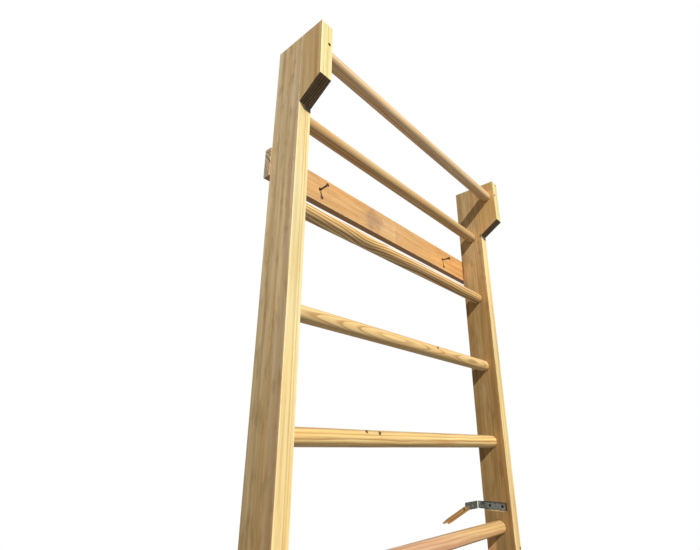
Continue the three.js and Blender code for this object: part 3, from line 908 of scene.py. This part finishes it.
def thread_ridge(turn):
    """A sharp ridge once in each turn, from 0 to 1."""
    return max(0.0, 1.0 - abs(turn % 1.0 - 0.5) / THREAD_WIDTH)


def turned(shape, profile, pitch=1.0):
    """A skin round the Y axis. Each step of the profile is a depth, a radius and how deep the thread is."""
    rows = []
    for depth, radius, cut in profile:
        row = []
        for i in range(SCREW_SIDES):
            turn = i / SCREW_SIDES
            local = radius * (1.0 - cut * (1.0 - THREAD_CORE) * (1.0 - thread_ridge(depth / pitch - turn)))
            angle = 2 * math.pi * turn
            row.append(Vector((local * math.cos(angle), depth, -local * math.sin(angle))) * MM)
        rows.append(row)
    skin(shape, rows)


def screw_head(size):
    """A countersunk head with a cross recess. Its top is at the origin and the shank points along +Y."""
    wide = size["head"]
    neck = size["cone"] + 2 * SCREW_LAP
    rounded = [(0.0, wide * 0.86, 0.0), (0.12, wide - 0.15, 0.0), (0.3, wide, 0.0), (SCREW_RIM, wide, 0.0)]
    shape = bmesh.new()
    turned(shape, [*rounded, (size["cone"], size["shank"], 0.0), (neck, size["shank"], 0.0)])
    return carved(shape, cross_cutter(size))


def screw_shank(shape, size, length):
    """The rest of the screw: a plain neck, then a thread that runs out in a point."""
    start = size["cone"] + SCREW_LAP
    finish = length - TIP_CUT
    count = max(2, round((finish - start) / size["pitch"] * THREAD_ROWS))
    profile = []
    for i in range(count + 1):
        depth = start + (finish - start) * i / count
        taper = min(1.0, (length - depth) / size["tip"])
        cut = min(1.0, max(0.0, (depth - size["plain"]) / size["pitch"]))
        profile.append((depth, size["shank"] * SHANK_EASE * (POINT + (1.0 - POINT) * taper), cut))
    turned(shape, profile, size["pitch"])


def cross_cutter(size):
    """The cross of the driver recess, wider at the top."""
    reach = size["head"] * CROSS_REACH
    half = size["head"] * CROSS_HALF
    deep = size["cone"] * CROSS_DEPTH
    corners = []
    for turn in range(4):
        quarter = Matrix.Rotation(turn * math.pi / 2, 2)
        corners.extend(quarter @ Vector(corner) for corner in ((reach, -half), (reach, half), (half, half)))
    rows = []
    for depth, shrink in (CROSS_TOP, (deep, CROSS_TAPER)):
        rows.append([Vector((corner.x * shrink, depth, -corner.y * shrink)) * MM for corner in corners])
    shape = bmesh.new()
    skin(shape, rows)
    return shape


def carved(shape, cutter):
    """The first bmesh with the second cut out of it."""
    body = bpy.data.objects.new("carved_body", mesh_of("carved_body", shape))
    tool = bpy.data.objects.new("carved_tool", mesh_of("carved_tool", cutter))
    for part in (body, tool):
        bpy.context.scene.collection.objects.link(part)
    cut = body.modifiers.new("cut", "BOOLEAN")
    cut.object = tool
    cut.operation = "DIFFERENCE"
    cut.solver = "EXACT"
    cut_mesh = bpy.data.meshes.new_from_object(body.evaluated_get(bpy.context.evaluated_depsgraph_get()))
    result = bmesh.new()
    result.from_mesh(cut_mesh)
    for part in (body, tool):
        old = part.data
        bpy.data.objects.remove(part)
        bpy.data.meshes.remove(old)
    bpy.data.meshes.remove(cut_mesh)
    return result


def place_screw(kind, node, way, material, tilt=0.0):
    """A screw in its node's box. tilt lifts the head of one that points along +Y, or lowers it below 0."""
    size = SCREWS[kind]
    low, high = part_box(node)
    index = AXIS_INDEX[way[1]]
    length = (high[index] - low[index]) / MM
    top = (low + high) / 2
    top[index] = low[index] if way[0] == "+" else high[index]
    if tilt:
        set_back = size["head"] * math.sin(abs(tilt))
        from_rim = size["head"] * math.cos(tilt) * MM
        length = (length - set_back) / math.cos(tilt)
        top.y += set_back * MM
        top.z = high.z - from_rim if tilt > 0 else low.z + from_rim
    shape = screw_head(size)
    screw_shank(shape, size, length)
    spin = Matrix.Rotation(seed_of(node) * SPIN_STEP, 4, "Y")
    turn = SCREW_WAYS[way] @ Matrix.Rotation(-tilt, 4, "X") @ spin
    bmesh.ops.transform(shape, matrix=Matrix.Translation(top) @ turn, verts=shape.verts)
    new_piece(f"{node}_cut", mesh_of(node, shape), material, node)


def make_screws():
    dark = dark_steel("dark_screw_steel")
    brown = dark_steel("brown_screw_steel", (0.06, 0.026, 0.006), (0.1, 0.046, 0.01), 0.0)
    black = dark_steel("black_screw_steel", (0.012, 0.012, 0.014), (0.03, 0.018, 0.012))
    for side, outward in zip(SIDES, ("-x", "+x")):
        place_screw("head_screw", f"head_screw_{side}", "+y", dark)
        for place in ("front", "rear"):
            place_screw("bracket_screw", f"bracket_screw_{place}_{side}", outward, black)
        for level in LEVELS:
            place_screw("wall_screw", f"wall_screw_{level}_{side}", "+y", brown, WALL_SCREW_TILTS[side])
            for edge in ("top", "bottom"):
                place_screw("board_screw", f"board_screw_{level}_{edge}_{side}", "-y", dark)
    place_screw("broken_strip_screw", "broken_strip_screw", "+y", black)


# Stage, light and camera

FLOOR_RADIUS = 4.5
FLOOR_SIDES = 96
FLOOR_HEIGHT = -0.5 * MM
SUNS = {
    "key": dict(heading=(0.175, 0.744, -0.654), strength=6.5, softness=0.8, colour=(1.0, 0.98, 0.95)),
    "rear_bounce": dict(heading=(0.0, -0.6, 0.8), strength=0.7, softness=60.0, colour=(1.0, 0.87, 0.76)),
    "front_bounce": dict(heading=(0.1, 0.9, 0.42), strength=0.4, softness=80.0, colour=(1.0, 0.9, 0.8)),
}
DOME_COLOUR = (0.93, 1.0, 1.1)
DOME_BELOW = 0.26
DOME_ABOVE = 0.3
DOME_LEFT = 0.06  # that share of it on the left
DOME_RIGHT = 1.2  # and that share from the middle to the right
FOCAL_LENGTH = 22.6201
SENSOR_WIDTH = 36.0
CAMERA_PLACE = (-1.02793, -0.6705, 1.42086)
CAMERA_TURNS = (111.1288, -0.4402, -48.2643)  # in degrees


def make_floor():
    bpy.ops.mesh.primitive_circle_add(
        vertices=FLOOR_SIDES, radius=FLOOR_RADIUS, fill_type="NGON", location=(0, 0, FLOOR_HEIGHT))
    floor = bpy.context.object
    floor.name = "floor"
    graph = new_graph("floor_pale")
    cloud = graph.patches(graph.place(), (0.003, 0.003, 0.003), 3.0)
    colour = graph.mix(graph.smooth(cloud, 0.3, 0.7), rgb(0.78, 0.77, 0.75), rgb(0.83, 0.82, 0.8))
    floor.data.materials.append(graph.finish(cloud, 0.1, Base_Color=colour, Roughness=0.8))
    floor.visible_diffuse = False
    floor.visible_glossy = False
    floor.visible_shadow = False


def make_world():
    """White behind the object, and a dim dome to fill the shade, brightest above, darkest on the left."""
    world = bpy.data.worlds.new("studio")
    bpy.context.scene.world = world
    graph = Graph(world)
    across, _, up = graph.split(graph.add("ShaderNodeTexCoord", {}).outputs["Generated"])
    rise = graph.add("ShaderNodeMapRange", {0: up, 1: -1.0, 2: 1.0, 3: DOME_BELOW, 4: DOME_ABOVE})
    side = graph.add("ShaderNodeMapRange", {0: across, 1: -1.0, 2: 0.0, 3: DOME_LEFT, 4: DOME_RIGHT})
    strength = graph.times(rise.outputs[0], side.outputs[0])
    fill = graph.add("ShaderNodeBackground", {"Color": rgb(*DOME_COLOUR), "Strength": strength})
    white = graph.add("ShaderNodeBackground", {"Color": rgb(1.0, 1.0, 1.0), "Strength": 1.0})
    seen = graph.add("ShaderNodeLightPath", {}).outputs["Is Camera Ray"]
    choice = graph.add("ShaderNodeMixShader", {0: seen, 1: fill.outputs[0], 2: white.outputs[0]})
    graph.add("ShaderNodeOutputWorld", {"Surface": choice.outputs[0]})


def make_sun(name, heading, strength, softness, colour):
    """A sun that shines along heading. softness is its width in degrees."""
    light = bpy.data.lights.new(name, "SUN")
    light.energy = strength
    light.angle = math.radians(softness)
    light.color = colour
    lamp = bpy.data.objects.new(name, light)
    lamp.rotation_euler = Vector(heading).to_track_quat("-Z", "Y").to_euler()
    bpy.context.scene.collection.objects.link(lamp)


def make_camera():
    lens = bpy.data.cameras.new("camera")
    lens.sensor_fit = "HORIZONTAL"
    lens.sensor_width = SENSOR_WIDTH
    lens.lens = FOCAL_LENGTH
    camera = bpy.data.objects.new("camera", lens)
    camera.location = CAMERA_PLACE
    camera.rotation_euler = [math.radians(turn) for turn in CAMERA_TURNS]
    bpy.context.scene.collection.objects.link(camera)
    bpy.context.scene.camera = camera


dress_uprights()
dress_heads()
dress_dowels()
dress_brackets()
dress_boards()
dress_strip()
make_rungs()
make_screws()
make_floor()
make_world()
for name, sun in SUNS.items():
    make_sun(name, **sun)
make_camera()
bpy.context.scene.view_settings.view_transform = "Standard"
